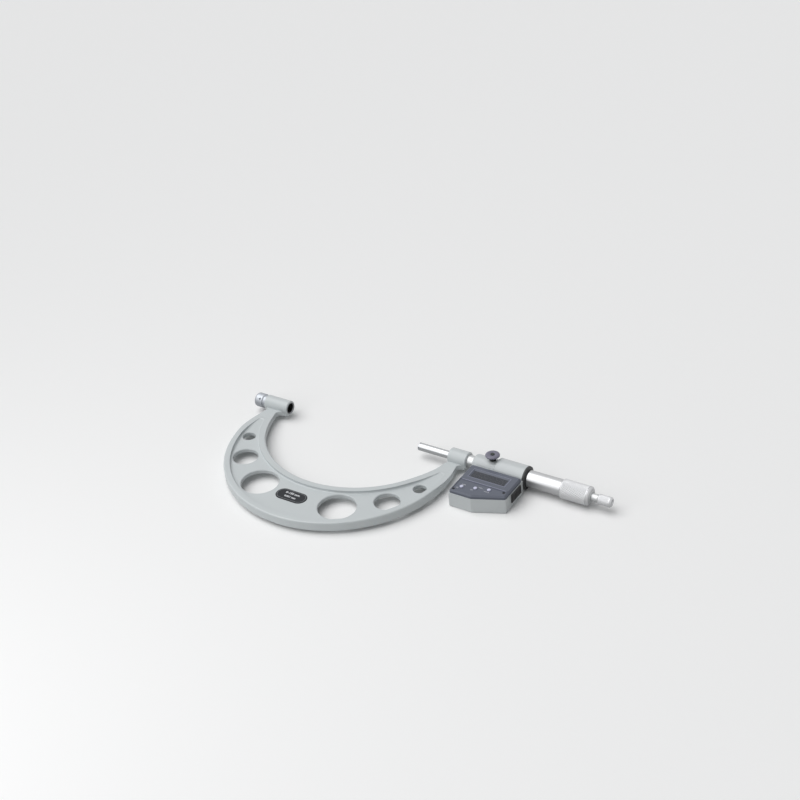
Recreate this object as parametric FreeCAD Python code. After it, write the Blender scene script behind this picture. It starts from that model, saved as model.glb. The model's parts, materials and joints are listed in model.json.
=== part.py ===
import FreeCAD, Part
import math
import os

V = FreeCAD.Vector

# Sizes in mm. Origin: centre of the anvil seat's mouth. X runs along the spindle to the ratchet,
# Y to the back, Z up out of the display face. Names that end in _len, _drop or _lead are
# distances from the neighbour before them, so that the pieces follow one another.

# Measuring range and running fits
travel = 25.0
anvil_stand_proud = 1.9
shortest_gauge = 125.0
running_gap = 0.05
loose_gap = 0.1

# Frame arch: half-widths lie on the spindle's axis, depths run down from it
throat_half = 83.15
throat_depth = 79.15
arm_width = 6.2
bow_depth = 49.05
anvil_overhang = 15.5
frame_setback = 2.55
rim_half = 4.05
web_half = 1.75
outer_rim_width = 5.0
inner_rim_width = 5.5
pocket_drop = 22.0
fade_drop = 19.0
fade_len = 28.0
rim_fillet = 1.3
arm_back_step = 1.0
arm_edge = 1.0
arm_flare = 5.0

# Lightening holes: angle from straight down, shift outwards from the middle of the band, and
# the metal left between the hole and the nearer edge of the band
lightening_holes = [(79.8, 1.5, 8.2), (59.7, 1.45, 8.25), (30.4, -0.15, 7.8)]
hole_lip = 0.5

# Bosses of the frame
anvil_boss_len = 23.1
anvil_boss_r = 6.25
head_boss_lead = 7.2
head_boss_len = 16.5
head_boss_r = 6.9

# Anvil seat and the cap over its far end
seat_bore_r = 4.02
bush_wall = 0.78
bush_len = 17.0
bush_mouth = 0.6
skirt_wall = 0.9
skirt_len = 5.4
cap_neck_r = 5.2
cap_neck_len = 2.7
cap_head_r = 6.0
cap_head_len = 8.0

# Badge on the web
badge_shift = -3.1
badge_rise = 4.0
badge_len = 27.5
badge_wide = 13.0
badge_recess = 0.6
badge_thick = 0.9

# Sleeve in the head boss, and the nose and barrel of the housing
front_sleeve_lead = 1.0
front_sleeve_boss_r = 5.8
neck_r = 5.0
neck_len = 5.5
nose_len = 21.0
nose_r = 7.6
barrel_len = 24.4
barrel_r = 9.5
barrel_bore_r = 7.8
barrel_wall = 0.8
rear_seat_len = 6.5

# Encoder in the barrel
stator_lead = 1.2
stator_thick = 1.0
encoder_gap = 0.5
rotor_r = 7.0
rotor_thick = 1.2
rotor_hub_r = 4.9
rotor_len = 5.4
key_half = 0.5
key_depth = 0.55

# Seal ring, thimble and ratchet
seal_r = 9.3
seal_len = 1.9
seal_gap = 0.5
spindle_r = 3.25
tip_len = 1.6
screw_r = 3.95
screw_grip = 3.0
thimble_r = 6.8
thimble_smooth_len = 26.2
knurl_r = 7.8
knurl_len = 23.0
thimble_end_len = 3.3
thimble_floor = 3.2
stem_flange_r = 5.0
stem_r = 1.5
ratchet_neck_r = 3.2
ratchet_neck_len = 5.9
ratchet_gap = 0.3
ratchet_len = 11.0
ratchet_r = 4.1
ratchet_pin_r = 1.6
ratchet_pin_short = 2.1

# Rear sleeve and the nut on it
rear_sleeve_r = 5.2
rear_sleeve_lead = 1.5
rear_bearing_len = 2.5
sleeve_end_room = 16.3
nut_seat_r = 4.7
nut_seat_len = 8.0
nut_ring_short = 0.5
slit_half = 0.3

# Housing box
box_lead = 2.3
box_len = 44.5
box_back_y = -9.0
box_right_y = -36.4
box_front_y = -46.8
slant_lead = 19.9
box_floor_z = -9.5
box_top_z = 3.2
box_wall = 1.8
box_floor = 1.7
bridge_angle = 62.0

# Display panel
panel_margin = 0.6
panel_height = 3.0
panel_plate = 1.3
panel_bevel = 1.2
panel_wall = 1.4
button_step = 0.4
window_lead = 6.9
window_len = 29.3
window_drop = 7.2
window_wide = 7.8
window_bevel = 1.2
window_back_bevel = 1.6
window_depth = 0.6
window_thick = 0.5
key_area_drop = 5.6

# Buttons in a row that climbs to the right
button_lead = 7.7
button_rise = 8.2
button_pitch = 10.5
button_climb = 2.5
button_count = 3
button_r = 1.5
button_flange = 0.5
button_travel = 0.4

# Panel screws at the two front corners
screw_left_lead = 3.2
screw_left_rise = 3.4
screw_right_inset = 4.2
screw_right_rise = 4.8
screw_head_r = 1.1
screw_shank_r = 0.7
screw_head_tall = 0.6
screw_post_r = 1.9
screw_len = 8.8

# Clamp
knob_lead = 16.0
knob_disc_r = 5.4
knob_stem_r = 2.75
knob_stem_len = 2.7
knob_disc_tall = 2.6
clamp_shaft_r = 1.5
clamp_gap = 0.3
clamp_reach = 0.65

# Circuit board, battery and data port
board_z = 1.4
board_thick = 1.2
key_switch_tall = 0.8
battery_lead = 27.5
battery_drop = 15.0
battery_r = 5.8
battery_thick = 5.0
battery_cap_r = 6.8
battery_lip = 1.4
port_drop = 5.5
port_wide = 13.0
port_floor_z = -3.6
port_tall = 5.6
port_depth = 8.0
cover_lap = 1.0
cover_thick = 1.4


def arc_through(half, depth):
    # radius, and height of the centre above the axis, of the arc that meets the axis at
    # plus and minus half and hangs down by depth
    r = (half * half + depth * depth) / (2 * depth)
    return r, r - depth


arch_inner_r, arch_inner_y = arc_through(throat_half, throat_depth)
arch_outer_r, arch_outer_y = arc_through(throat_half + arm_width, throat_depth + bow_depth)
arch_mid_x = throat_half + arm_width - anvil_overhang
head_x = arch_mid_x + throat_half + arm_width
rim_front_z = rim_half - frame_setback
rim_back_z = -rim_half - frame_setback
web_front_z = web_half - frame_setback
web_back_z = -web_half - frame_setback
arm_back_z = rim_back_z + arm_back_step
fade_y = -fade_drop - fade_len

bush_r = seat_bore_r + bush_wall
skirt_r = seat_bore_r + 0.4 + skirt_wall
badge_x = arch_mid_x + badge_shift
badge_y = badge_rise - throat_depth - bow_depth / 2

spindle_tip_x = anvil_stand_proud + shortest_gauge
head_boss_x0 = head_x - head_boss_lead
head_boss_x1 = head_boss_x0 + head_boss_len
tube_x0 = head_boss_x1 + neck_len
tube_step_x = tube_x0 + nose_len
tube_x1 = tube_step_x + barrel_len
hollow_x0 = tube_step_x + barrel_wall
hollow_x1 = tube_x1 - rear_seat_len
front_sleeve_x0 = head_boss_x0 + front_sleeve_lead
front_sleeve_x1 = tube_step_x - loose_gap
stator_x0 = tube_step_x + stator_lead
rotor_x0 = stator_x0 + stator_thick + encoder_gap
rotor_x1 = rotor_x0 + rotor_len

seal_x1 = tube_x1 + seal_len
thimble_x0 = seal_x1 + seal_gap
knurl_x0 = thimble_x0 + thimble_smooth_len
knurl_x1 = knurl_x0 + knurl_len
thimble_x1 = knurl_x1 + thimble_end_len
ratchet_neck_x1 = thimble_x1 + ratchet_neck_len
ratchet_x0 = ratchet_neck_x1 + ratchet_gap
ratchet_x1 = ratchet_x0 + ratchet_len

rear_sleeve_x0 = rotor_x1 + rear_sleeve_lead
rear_sleeve_x1 = thimble_x1 - sleeve_end_room
nut_seat_x0 = rear_sleeve_x1 - nut_seat_len
screw_x1 = rear_sleeve_x1 + 2.0
screw_x0 = screw_x1 - travel - screw_grip

box_x0 = tube_x0 + box_lead
box_x1 = box_x0 + box_len
box_slant_x = box_x0 + slant_lead
panel_top_z = box_top_z + panel_height
key_area_z = panel_top_z - button_step
window_x0 = box_x0 + window_lead
window_x1 = window_x0 + window_len
window_y1 = box_back_y - window_drop
window_y0 = window_y1 - window_wide
step_y = window_y0 - key_area_drop
button_spots = [
    (box_x0 + button_lead + k * button_pitch, box_front_y + button_rise + k * button_climb)
    for k in range(button_count)
]
screw_spots = [
    (box_x0 + screw_left_lead, box_front_y + screw_left_rise),
    (box_x1 - screw_right_inset, box_right_y + screw_right_rise),
]
board_top_z = board_z + board_thick
key_switch_z = board_top_z + key_switch_tall
board_drop = box_wall + 0.5

knob_x = tube_x0 + knob_lead
knob_disc_z0 = nose_r + clamp_gap + knob_stem_len
knob_disc_z1 = knob_disc_z0 + knob_disc_tall

battery_x = box_x0 + battery_lead
battery_y = box_back_y - battery_drop
battery_z0 = box_floor_z + box_floor + loose_gap
battery_z1 = battery_z0 + battery_thick
port_y1 = box_back_y - port_drop
port_y0 = port_y1 - port_wide
port_z0 = port_floor_z
port_z1 = port_z0 + port_tall


def ring_x(x0, x1, outer, inner=0.0):
    body = Part.makeCylinder(outer, x1 - x0, V(x0, 0, 0), V(1, 0, 0))
    if inner > 0:
        body = body.cut(Part.makeCylinder(inner, x1 - x0 + 2, V(x0 - 1, 0, 0), V(1, 0, 0)))
    return body


def turned(profile):
    # a closed profile of (x, radius) points turned about the X axis
    pts = [V(x, 0, r) for x, r in profile]
    face = Part.Face(Part.makePolygon(pts + [pts[0]]))
    return face.revolve(V(0, 0, 0), V(1, 0, 0), 360)


def upright(x, y, z0, z1, r):
    return Part.makeCylinder(r, z1 - z0, V(x, y, z0), V(0, 0, 1))


def turned_upright(x, y, profile):
    # a closed profile of (radius, z) points turned about a vertical line
    pts = [V(x + r, y, z) for r, z in profile]
    face = Part.Face(Part.makePolygon(pts + [pts[0]]))
    return face.revolve(V(x, y, 0), V(0, 0, 1), 360)


def prism(points, z0, z1):
    pts = [V(x, y, z0) for x, y in points]
    face = Part.Face(Part.makePolygon(pts + [pts[0]]))
    return face.extrude(V(0, 0, z1 - z0))


def box(x0, x1, y0, y1, z0, z1):
    return Part.makeBox(x1 - x0, y1 - y0, z1 - z0, V(x0, y0, z0))


def slot_plate(cx, cy, length, wide, z0, z1):
    r = wide / 2
    a = length / 2 - r
    plate = box(cx - a, cx + a, cy - r, cy + r, z0, z1)
    plate = plate.fuse([upright(cx - a, cy, z0, z1, r), upright(cx + a, cy, z0, z1, r)])
    return plate.removeSplitter()


def inset(points, d):
    # moves every side of a convex outline inwards by d; points run counter-clockwise
    n = len(points)
    lines = []
    for i in range(n):
        x0, y0 = points[i]
        x1, y1 = points[(i + 1) % n]
        length = math.hypot(x1 - x0, y1 - y0)
        nx, ny = -(y1 - y0) / length, (x1 - x0) / length
        lines.append((x0 + nx * d, y0 + ny * d, x1 - x0, y1 - y0))
    out = []
    for i in range(n):
        ax, ay, adx, ady = lines[i - 1]
        bx, by, bdx, bdy = lines[i]
        t = ((bx - ax) * bdy - (by - ay) * bdx) / (adx * bdy - ady * bdx)
        out.append((ax + adx * t, ay + ady * t))
    return out


def rounded(shape, picker, radius):
    edges = [e for e in shape.Edges if picker(e)]
    if not edges:
        return shape
    return shape.makeFillet(radius, edges)


def bevelled(shape, picker, size):
    edges = [e for e in shape.Edges if picker(e)]
    if not edges:
        return shape
    return shape.makeChamfer(size, edges)


def at_z(edge, z):
    bb = edge.BoundBox
    return abs(bb.ZMin - z) < 1e-4 and abs(bb.ZMax - z) < 1e-4


def upright_edge(edge):
    bb = edge.BoundBox
    return bb.XLength < 1e-4 and bb.YLength < 1e-4


def round_edge(edge):
    # the circle at the end of a bar that lies along X
    return edge.BoundBox.XLength < 1e-4


def save(name, shape):
    shape = shape.removeSplitter()
    if len(shape.Solids) == 1:
        shape = shape.Solids[0]
    assert shape.isValid(), name
    shape.exportStep(os.path.join("parts", name + ".step"))
    print(name, round(shape.Volume / 1000, 3), "cm3", len(shape.Solids), "solids")


def crescent(outer_r, inner_r, top_y, z0, z1):
    tall = z1 - z0
    body = Part.makeCylinder(outer_r, tall, V(arch_mid_x, arch_outer_y, z0))
    body = body.cut(Part.makeCylinder(inner_r, tall + 2, V(arch_mid_x, arch_inner_y, z0 - 1)))
    side = 2 * outer_r
    keep = box(arch_mid_x - side, arch_mid_x + side, arch_outer_y - side, top_y, z0, z1)
    return body.common(keep)


def hole_place(angle, shift, edge_metal):
    # the hole's distance from the middle line, its height and its radius, from the band that
    # the two arcs leave along a ray from the outer arc's centre
    side, down = math.sin(math.radians(angle)), -math.cos(math.radians(angle))
    rise = arch_inner_y - arch_outer_y
    near = rise * down + math.sqrt(arch_inner_r ** 2 - (rise * side) ** 2)
    away = (near + arch_outer_r) / 2 + shift
    hole_r = (arch_outer_r - near) / 2 - edge_metal
    return away * side, arch_outer_y + away * down, hole_r


def arm_root(boss_x0, boss_x1, boss_r):
    # the end of an arm below its boss: it widens into the boss in hollow curves
    strip_y = -boss_r + 0.4
    lead = 0.9
    arm = crescent(arch_outer_r, arch_inner_r, 0, arm_back_z, web_front_z)
    arm = arm.common(box(boss_x0 - 15, boss_x1 + 15, fade_y, 1, arm_back_z, web_front_z))
    body = arm.fuse(box(boss_x0 + lead, boss_x1 - lead, strip_y, 0, arm_back_z, web_front_z)).removeSplitter()
    corner = lambda e: upright_edge(e) and abs(e.BoundBox.YMin - strip_y) < 1e-4 and (
        boss_x0 + lead + 0.2 < e.BoundBox.XMin < boss_x1 - lead - 0.2)
    for x in [e.BoundBox.XMin for e in body.Edges if corner(e)]:
        # a hollow curve is limited by the length of boss beside the arm
        beside = min(x - boss_x0, boss_x1 - x) - lead
        picked = lambda e: corner(e) and abs(e.BoundBox.XMin - x) < 1e-4
        body = rounded(body, picked, min(arm_flare, 0.68 * beside))
    outline = lambda e: (at_z(e, arm_back_z) or at_z(e, web_front_z)) and (
        e.BoundBox.YMax < -0.1 and e.BoundBox.YMin > fade_y - 0.1 and e.BoundBox.YLength > 0.1)
    return rounded(body, outline, arm_edge)


def fade_wedge(rim_z, arm_z):
    # what comes off the rims where they run out towards the bosses
    over = rim_z + math.copysign(2, rim_z - arm_z)
    line = [(fade_y, rim_z), (-fade_drop, arm_z), (1, arm_z), (1, over), (fade_y, over), (fade_y, rim_z)]
    x0 = arch_mid_x - 2 * throat_half
    face = Part.Face(Part.makePolygon([V(x0, y, z) for y, z in line]))
    return face.extrude(V(4 * throat_half, 0, 0))


def make_frame():
    plate = crescent(arch_outer_r, arch_inner_r, -fade_drop / 2, rim_back_z, rim_front_z)
    long_edge = throat_half / 4
    curved = lambda e: (at_z(e, rim_front_z) or at_z(e, rim_back_z)) and e.BoundBox.YLength > long_edge
    plate = rounded(plate, curved, rim_fillet)
    # recesses on both faces leave the web between the two rims
    pocket = crescent(
        arch_outer_r - outer_rim_width, arch_inner_r + inner_rim_width, -pocket_drop,
        web_front_z, rim_front_z + 3,
    )
    pocket = rounded(pocket, upright_edge, 1.8)
    pocket = rounded(pocket, lambda e: at_z(e, web_front_z), 1.0)
    plate = plate.cut(pocket)
    plate = plate.cut(pocket.mirror(V(0, 0, -frame_setback), V(0, 0, 1)))
    plate = plate.cut([fade_wedge(rim_front_z, web_front_z), fade_wedge(rim_back_z, arm_back_z)])
    roots = [arm_root(-anvil_boss_len, 0, anvil_boss_r), arm_root(head_boss_x0, head_boss_x1, head_boss_r)]
    body = plate.fuse(roots).removeSplitter()
    anvil_boss = bevelled(ring_x(-anvil_boss_len, 0, anvil_boss_r), round_edge, 0.5)
    head_boss = bevelled(ring_x(head_boss_x0, head_boss_x1, head_boss_r), round_edge, 0.7)
    body = body.fuse([anvil_boss, head_boss]).removeSplitter()
    for angle, shift, edge_metal in lightening_holes:
        dx, y, r = hole_place(angle, shift, edge_metal)
        wide = r + hole_lip + 1
        flare = web_half + 1
        profile = [
            (0, -rim_half), (wide, -rim_half), (wide, -flare), (r, hole_lip - web_half),
            (r, web_half - hole_lip), (wide, flare), (wide, rim_half), (0, rim_half),
        ]
        profile = [(away, z - frame_setback) for away, z in profile]
        for side in (-1, 1):
            body = body.cut(turned_upright(arch_mid_x + side * dx, y, profile))
    seat_z = web_front_z - badge_recess
    body = body.cut(slot_plate(badge_x, badge_y, badge_len, badge_wide, seat_z, rim_front_z))
    body = body.cut(ring_x(-anvil_boss_len - 1, 1, bush_r))
    body = body.cut(ring_x(-anvil_boss_len - 1, -anvil_boss_len + skirt_len, skirt_r + running_gap))
    body = body.cut(ring_x(head_boss_x0 - 1, head_boss_x1 + 1, front_sleeve_boss_r))
    return body


def make_anvil_bush():
    lip = 0.3
    return turned([
        (-bush_len, seat_bore_r), (-bush_len, bush_r), (lip, bush_r), (lip, seat_bore_r + bush_mouth),
        (lip - bush_mouth, seat_bore_r),
    ])


def make_anvil_cap():
    x1 = -anvil_boss_len - loose_gap
    neck = x1 - cap_neck_len
    end = neck - cap_head_len
    tip = x1 + skirt_len
    r = cap_head_r
    well_r = skirt_r - skirt_wall
    body = turned([
        (tip, well_r), (tip, skirt_r), (x1, skirt_r), (x1, cap_neck_r),
        (neck + 0.4, cap_neck_r), (neck, r - 0.4), (neck - 0.4, r),
        (end + 1.9, r), (end + 0.9, r - 0.35), (end + 0.3, r - 1.0),
        (end, r - 2.0), (end, 0), (end + 2.4, 0), (end + 4.2, well_r),
    ])
    for k in range(4):
        spin = math.radians(45 + 90 * k)
        way = V(0, math.cos(spin), math.sin(spin))
        hole = Part.makeCylinder(0.9, 3, V(neck - 2.2, 0, 0) + way * (r - 1.3), way)
        body = body.cut(hole)
    return body


def make_badge():
    z0 = web_front_z - badge_recess
    z1 = z0 + badge_thick
    plate = slot_plate(badge_x, badge_y, badge_len - 2 * loose_gap, badge_wide - 2 * loose_gap, z0, z1)
    return bevelled(plate, lambda e: at_z(e, z1), 0.2)


def make_front_sleeve():
    x0 = front_sleeve_x0
    x1 = front_sleeve_x1
    bore = spindle_r + running_gap
    body = turned([
        (x0, bore + 0.4), (x0, front_sleeve_boss_r), (head_boss_x1, front_sleeve_boss_r),
        (head_boss_x1, neck_r), (x1, neck_r), (x1, bore), (x0 + 0.4, bore),
    ])
    return body.cut(upright(knob_x, 0, 0, neck_r + 1, clamp_shaft_r + running_gap))


def make_rear_sleeve():
    x0 = rear_sleeve_x0
    x1 = rear_sleeve_x1
    bore = spindle_r + running_gap
    thread = screw_r + running_gap
    bearing_x1 = x0 + rear_bearing_len
    body = turned([
        (x0, bore), (x0, rear_sleeve_r), (nut_seat_x0, rear_sleeve_r),
        (nut_seat_x0, nut_seat_r), (x1, nut_seat_r), (x1, thread), (bearing_x1 + 1, thread), (bearing_x1, bore),
    ])
    for k in range(3):
        slit = box(nut_seat_x0 + 1.5, x1 + 1, -slit_half, slit_half, 0, rear_sleeve_r + 1)
        slit.rotate(V(0, 0, 0), V(1, 0, 0), 120 * k + 30)
        body = body.cut(slit)
    return body


def make_adjusting_nut():
    x0 = nut_seat_x0 + nut_ring_short
    ring_r = rear_sleeve_r - running_gap
    body = ring_x(x0, rear_sleeve_x1 - nut_ring_short, ring_r, nut_seat_r)
    for k in range(4):
        notch = box(x0 + 2.0, x0 + 4.6, -0.5, 0.5, ring_r - 0.25, ring_r + 1)
        notch.rotate(V(0, 0, 0), V(1, 0, 0), 90 * k)
        body = body.cut(notch)
    return body


def housing_outline():
    return [
        (box_x0, box_back_y), (box_x0, box_front_y), (box_slant_x, box_front_y), (box_x1, box_right_y),
        (box_x1, box_back_y),
    ]


def make_bridge():
    # the metal between the box and the round nose and barrel
    turn = math.radians(bridge_angle)
    low_y = -nose_r * math.cos(turn)
    low_z = -nose_r * math.sin(turn)
    inner_y = box_back_y - box_wall
    x0 = box_x0
    profile = [
        V(x0, inner_y, box_floor_z), V(x0, box_back_y, box_floor_z), V(x0, low_y, low_z),
        V(x0, low_y, box_top_z), V(x0, inner_y, box_top_z),
    ]
    face = Part.Face(Part.makePolygon(profile + [profile[0]]))
    return face.extrude(V(tube_x1 - x0, 0, 0))


def make_housing():
    outline = housing_outline()
    barrel_chamfer = 0.5
    tube = turned([
        (tube_x0, 0), (tube_x0, nose_r - 2.0), (tube_x0 + 0.3, nose_r - 1.1), (tube_x0 + 0.9, nose_r - 0.4),
        (tube_x0 + 1.8, nose_r), (tube_step_x, nose_r), (tube_step_x, barrel_r - barrel_chamfer),
        (tube_step_x + barrel_chamfer, barrel_r), (tube_x1, barrel_r), (tube_x1, 0),
    ])
    tray = prism(outline, box_floor_z, box_top_z)
    tray = rounded(tray, lambda e: upright_edge(e) and e.BoundBox.YMax < box_back_y - 1, 1.2)
    tray = rounded(tray, lambda e: at_z(e, box_floor_z) and e.BoundBox.YMin < box_back_y - 0.5, 1.0)
    body = tray.fuse([make_bridge(), tube]).removeSplitter()
    floor_z = box_floor_z + box_floor
    hollow = prism(inset(outline, box_wall), floor_z, box_top_z + 1)
    hollow = rounded(hollow, upright_edge, 0.8)
    posts = [upright(x, y, floor_z - 0.5, box_top_z, screw_post_r) for x, y in screw_spots]
    hollow = hollow.cut(Part.makeCompound(posts))
    body = body.cut(hollow)
    for x, y in screw_spots:
        body = body.cut(upright(x, y, key_area_z - screw_len - 0.2, box_top_z + 1, screw_shank_r))
    body = body.cut(ring_x(hollow_x0, hollow_x1, barrel_bore_r))
    body = body.cut(ring_x(tube_x0 - 1, hollow_x0 + 1, neck_r))
    body = body.cut(ring_x(hollow_x1 - 1, tube_x1 + 1, rear_sleeve_r))
    body = body.cut(ring_x(tube_x1, seal_x1 + loose_gap, barrel_r))
    # wiring slot from the encoder to the tray
    slot_half = 1.5
    slot_x1 = rotor_x0 + rotor_thick + loose_gap
    body = body.cut(box(hollow_x0, slot_x1, box_back_y - box_wall - 1, -rotor_hub_r, -slot_half, slot_half))
    body = body.cut(upright(knob_x, 0, 0, nose_r + 1, clamp_shaft_r + running_gap))
    body = body.cut(box(box_x1 - box_wall - 1, box_x1 + 1, port_y0, port_y1, port_z0, port_z1))
    body = body.cut(upright(battery_x, battery_y, box_floor_z - 1, floor_z + 1, battery_cap_r + loose_gap))
    ledge_z1 = floor_z + 0.6
    ledge = upright(battery_x, battery_y, floor_z, ledge_z1, battery_cap_r + battery_lip)
    ledge = ledge.cut(upright(battery_x, battery_y, floor_z - 1, ledge_z1 + 1, battery_r + 2 * loose_gap))
    return body.fuse(ledge)


def make_end_seal():
    x0 = tube_x1
    x1 = seal_x1
    step_x = x0 + 0.6 * seal_len
    r = seal_r
    return turned([
        (x0, rear_sleeve_r), (x0, r), (step_x, r), (step_x + 0.1, r - 1.0), (x1, r - 1.5), (x1, rear_sleeve_r),
    ])


def make_panel():
    outer = inset(housing_outline(), panel_margin)
    bottom = box_top_z
    body = prism(outer, bottom, panel_top_z)
    body = rounded(body, upright_edge, panel_bevel + 0.3)
    body = bevelled(body, lambda e: at_z(e, panel_top_z), panel_bevel)
    under = prism(inset(outer, panel_wall), bottom - 1, panel_top_z - panel_plate)
    posts = [upright(x, y, bottom - 1, panel_top_z, screw_post_r) for x, y in screw_spots]
    under = under.cut(Part.makeCompound(posts))
    body = body.cut(under)
    # the key area lies a little lower than the display area
    low = prism(inset(outer, panel_bevel + 0.2), key_area_z, panel_top_z + 1)
    low = low.common(box(box_x0, box_x1, box_front_y, step_y, bottom, panel_top_z + 1))
    body = body.cut(low)
    # sloping frame around the window, and the ledge that holds it
    side = window_bevel
    wide = [
        (window_x0 - side, window_y0 - side), (window_x1 + side, window_y0 - side),
        (window_x1 + side, window_y1 + window_back_bevel), (window_x0 - side, window_y1 + window_back_bevel),
    ]
    small = [(window_x0, window_y0), (window_x1, window_y0), (window_x1, window_y1), (window_x0, window_y1)]
    z_low = panel_top_z - window_depth
    loops = [
        Part.makePolygon([V(x, y, z) for x, y in pts] + [V(pts[0][0], pts[0][1], z)])
        for pts, z in ((small, z_low), (wide, panel_top_z))
    ]
    body = body.cut(Part.makeLoft(loops, True, True))
    body = body.cut(prism(small, z_low - window_thick, panel_top_z))
    ledge = 0.8
    body = body.cut(box(
        window_x0 + ledge, window_x1 - ledge, window_y0 + ledge, window_y1 - ledge, bottom, panel_top_z,
    ))
    for x, y in button_spots:
        body = body.cut(upright(x, y, bottom, panel_top_z + 1, button_r + running_gap))
    for x, y in screw_spots:
        body = body.cut(upright(x, y, bottom - 1, panel_top_z + 1, screw_shank_r + loose_gap))
        seat_z = key_area_z - screw_head_tall - loose_gap
        body = body.cut(upright(x, y, seat_z, panel_top_z + 1, screw_head_r + loose_gap))
    return body


def make_window():
    z0 = panel_top_z - window_depth - window_thick
    gap = running_gap
    return box(window_x0 + gap, window_x1 - gap, window_y0 + gap, window_y1 - gap, z0, z0 + window_thick)


def make_display():
    rim = 1.2
    z0 = board_top_z + 0.7
    return box(
        window_x0 - rim, window_x1 + rim, window_y0 - rim, window_y1 + rim, z0, panel_top_z - panel_plate,
    )


def make_board():
    shape = prism(inset(housing_outline(), board_drop), board_z, board_top_z)
    for x, y in screw_spots:
        shape = shape.cut(upright(x, y, board_z - 1, board_top_z + 1, screw_post_r + 0.4))
    chip_x = box_x0 + 9.0
    chip_y = box_front_y + 19.0
    parts = [
        box(chip_x, chip_x + 8.0, chip_y, chip_y + 8.0, board_z - 1.2, board_z),
        box(chip_x + 10.0, chip_x + 13.0, chip_y - 14.0, chip_y - 12.0, board_z - 0.8, board_z),
    ]
    key = button_r + 0.1
    for x, y in button_spots:
        parts.append(box(x - key, x + key, y - key, y + key, board_top_z, key_switch_z))
    strip = 1.2
    parts.append(box(
        window_x0 + strip, window_x1 - strip, window_y0 - strip, window_y1 + strip,
        board_top_z, board_top_z + 0.7,
    ))
    return shape.fuse(parts)


def make_stator():
    x0 = stator_x0
    x1 = stator_x0 + stator_thick
    bore = rotor_hub_r + 0.3
    disc = ring_x(x0, x1, barrel_bore_r)
    tab = box(x0, x1, box_back_y - box_wall - 3.5, -barrel_bore_r + 0.5, -1.2, 1.2)
    return disc.fuse(tab).cut(ring_x(x0 - 1, x1 + 1, bore))


def make_rotor():
    x0 = rotor_x0
    x1 = rotor_x1
    bore = spindle_r + running_gap
    disc_x1 = x0 + rotor_thick
    body = turned([
        (x0, bore), (x0, rotor_r), (disc_x1, rotor_r), (disc_x1, rotor_hub_r), (x1, rotor_hub_r), (x1, bore),
    ])
    half = key_half - running_gap
    key = box(x0 + 0.4, x1 - 0.2, -half, half, -spindle_r - 0.4, -spindle_r + key_depth)
    return body.fuse(key)


def make_battery():
    r = battery_r
    z0 = battery_z0
    z1 = battery_z1
    return turned_upright(battery_x, battery_y, [
        (0, z0), (r - 0.3, z0), (r, z0 + 0.3), (r, z1 - 1.0), (r - 0.9, z1 - 0.6), (r - 0.9, z1), (0, z1),
    ])


def make_battery_contact():
    half = 2.2
    reach = 4.5
    thick = 0.3
    z0 = battery_z1
    leaf = box(battery_x - half, battery_x + half, battery_y - reach, battery_y + reach, z0, z0 + thick)
    lift = box(
        battery_x - half, battery_x + half, battery_y + reach - thick, battery_y + reach, z0, board_z,
    )
    return leaf.fuse(lift)


def make_battery_cap():
    r = battery_cap_r
    z0 = box_floor_z + loose_gap
    z1 = box_floor_z + box_floor - loose_gap
    body = turned_upright(battery_x, battery_y, [(0, z0), (r - 0.3, z0), (r, z0 + 0.3), (r, z1), (0, z1)])
    coin = box(battery_x - 4.6, battery_x + 4.6, battery_y - 0.7, battery_y + 0.7, z0 - 1, z0 + 0.8)
    return body.cut(coin)


def make_port():
    x0 = box_x1 - port_depth
    x1 = box_x1 - box_wall
    body = box(x0, x1, port_y0 + 1, port_y1 - 1, port_z0 - 0.6, board_z)
    mouth = box(x1 - 2.4, x1 + 1, port_y0 + 2.4, port_y1 - 2.4, port_z0 + 1.2, board_z - 1.4)
    return body.cut(mouth)


def make_port_cover():
    x0 = box_x1 + loose_gap
    x1 = x0 + cover_thick
    lap = cover_lap
    face = box(x0, x1, port_y0 - lap, port_y1 + lap, port_z0 - lap, port_z1 + lap)
    face = rounded(face, lambda e: e.BoundBox.YLength < 1e-4 and e.BoundBox.ZLength < 1e-4, 1.2)
    face = rounded(face, lambda e: abs(e.BoundBox.XMin - x1) < 1e-4, 0.5)
    gap = loose_gap
    plug = box(box_x1 - box_wall + gap, x0 + 0.1, port_y0 + gap, port_y1 - gap, port_z0 + gap, port_z1 - gap)
    return face.fuse(plug)


def make_clamp_knob():
    r = knob_disc_r
    bore = clamp_shaft_r + 0.1
    z0 = knob_disc_z0
    z1 = knob_disc_z1
    return turned_upright(knob_x, 0, [
        (bore, z0), (r - 0.7, z0), (r - 0.1, z0 + 0.4), (r, z0 + 0.9), (r - 0.2, z1 - 0.8), (r - 1.1, z1 - 0.2),
        (r - 2.2, z1), (bore, z1),
    ])


def make_clamp_stem():
    neck = clamp_shaft_r + 0.1
    low_z = spindle_r + clamp_reach
    collar_z = nose_r + clamp_gap
    top_z = knob_disc_z1 + 0.25
    return turned_upright(knob_x, 0, [
        (0, low_z), (clamp_shaft_r, low_z), (clamp_shaft_r, collar_z), (knob_stem_r, collar_z),
        (knob_stem_r, knob_disc_z0), (neck, knob_disc_z0), (neck, top_z), (0, top_z),
    ])


def make_clamp_pad():
    pad = upright(knob_x, 0, 2.0, spindle_r + clamp_reach - running_gap, clamp_shaft_r)
    return pad.cut(ring_x(knob_x - 5, knob_x + 5, spindle_r + running_gap))


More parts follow.
